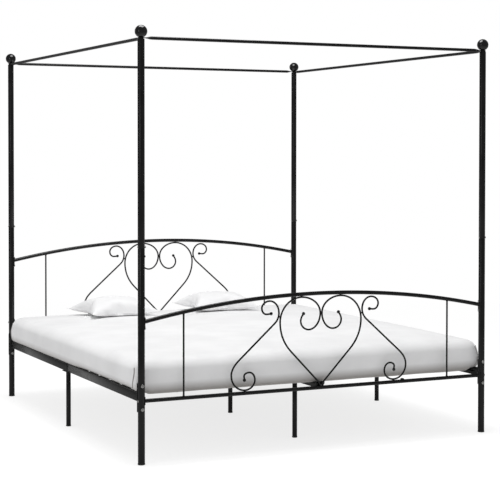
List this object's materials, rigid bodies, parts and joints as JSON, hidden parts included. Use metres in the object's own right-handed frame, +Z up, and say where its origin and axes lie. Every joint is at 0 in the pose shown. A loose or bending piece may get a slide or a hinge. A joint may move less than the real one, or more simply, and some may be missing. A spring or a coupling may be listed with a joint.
{
  "type": "four poster canopy bed",
  "caption": "Metal four-poster bed with slim ball-topped posts, an open canopy frame, scrolled heart panels at head and foot, a slatted base, a mattress and two pillows.",
  "frame": {"origin": "on the floor, under the middle of the bed", "axes": "+Z up, +Y towards the headboard, +X to the right as seen from the foot end"},
  "size_m": [1.887, 2.127, 1.9751],
  "materials": {
    "coated_steel": "satin",
    "slat_steel": "satin",
    "mattress_cover": "matte",
    "pillowcase": "matte"
  },
  "bodies": {
    "frame": {"post_lower_foot_left": "coated_steel", "post_upper_foot_left": "coated_steel", "finial_foot_left": "coated_steel", "post_lower_foot_right": "coated_steel", "post_upper_foot_right": "coated_steel", "finial_foot_right": "coated_steel", "post_lower_head_left": "coated_steel", "post_upper_head_left": "coated_steel", "finial_head_left": "coated_steel", "post_lower_head_right": "coated_steel", "post_upper_head_right": "coated_steel", "finial_head_right": "coated_steel", "canopy_rail_foot": "coated_steel", "canopy_rail_head": "coated_steel", "canopy_rail_left": "coated_steel", "canopy_rail_right": "coated_steel", "footboard_arch": "coated_steel", "footboard_base_rail": "coated_steel", "footboard_bar_left": "coated_steel", "footboard_bar_right": "coated_steel", "footboard_heart_left": "coated_steel", "footboard_heart_right": "coated_steel", "footboard_scroll_left": "coated_steel", "footboard_scroll_right": "coated_steel", "headboard_arch": "coated_steel", "headboard_base_rail": "coated_steel", "headboard_bar_left": "coated_steel", "headboard_bar_right": "coated_steel", "headboard_heart_left": "coated_steel", "headboard_heart_right": "coated_steel", "headboard_scroll_left": "coated_steel", "headboard_scroll_right": "coated_steel", "side_rail_foot_left": "coated_steel", "side_rail_foot_right": "coated_steel", "side_rail_head_left": "coated_steel", "side_rail_head_right": "coated_steel", "side_rail_leg_left": "coated_steel", "side_rail_leg_right": "coated_steel", "centre_beam_foot": "coated_steel", "centre_beam_head": "coated_steel", "centre_leg_foot": "coated_steel", "centre_leg_middle": "coated_steel", "centre_leg_head": "coated_steel", "slat_01": "slat_steel", "slat_02": "slat_steel", "slat_03": "slat_steel", "slat_04": "slat_steel", "slat_05": "slat_steel", "slat_06": "slat_steel", "slat_07": "slat_steel", "slat_08": "slat_steel", "slat_09": "slat_steel", "slat_10": "slat_steel", "slat_11": "slat_steel", "slat_12": "slat_steel", "slat_13": "slat_steel"},
    "mattress": {"mattress": "mattress_cover"},
    "pillow_left": {"pillow_left": "pillowcase"},
    "pillow_right": {"pillow_right": "pillowcase"}
  },
  "joints": [
    {"name": "mattress_lift", "type": "slide", "parent": "frame", "child": "mattress", "axis": [0, 0, 1], "range_m": [0, 0.6]},
    {"name": "pillow_left_lift", "type": "slide", "parent": "mattress", "child": "pillow_left", "axis": [0, 0, 1], "range_m": [0, 0.3]},
    {"name": "pillow_right_lift", "type": "slide", "parent": "mattress", "child": "pillow_right", "axis": [0, 0, 1], "range_m": [0, 0.3]}
  ]
}
